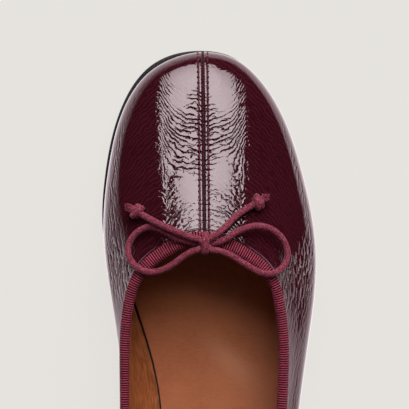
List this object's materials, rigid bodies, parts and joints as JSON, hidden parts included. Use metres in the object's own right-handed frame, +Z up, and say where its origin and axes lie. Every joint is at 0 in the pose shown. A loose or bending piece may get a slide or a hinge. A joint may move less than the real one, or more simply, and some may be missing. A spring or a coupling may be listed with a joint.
{
  "type": "ballet flat",
  "caption": "Flat slip-on shoe with a round toe, a low open collar bound in ribbed tape, a thin sole, a low heel and a small cord bow on the throat.",
  "frame": {"origin": "on the floor, below the middle of the box round the shoe without its bow", "axes": "+Y from the heel to the toe, +Z up, +X to the outer side of the right foot"},
  "size_m": [0.0879, 0.2494, 0.0588],
  "materials": {
    "patent_leather": "crinkled high gloss",
    "grosgrain_tape": "ribbed, matt",
    "black_rubber": "satin",
    "tan_leather": "soft satin",
    "cotton_cord": "woven, matt"
  },
  "bodies": {
    "root": {"upper": "patent_leather", "collar_binding": "grosgrain_tape", "outsole": "black_rubber", "heel": "black_rubber", "insole": "tan_leather", "bow_knot": "cotton_cord", "bow_loop_outer": "cotton_cord", "bow_loop_inner": "cotton_cord", "bow_tail_outer": "cotton_cord", "bow_tail_inner": "cotton_cord", "tail_knot_outer": "cotton_cord", "tail_knot_inner": "cotton_cord"}
  },
  "joints": []
}
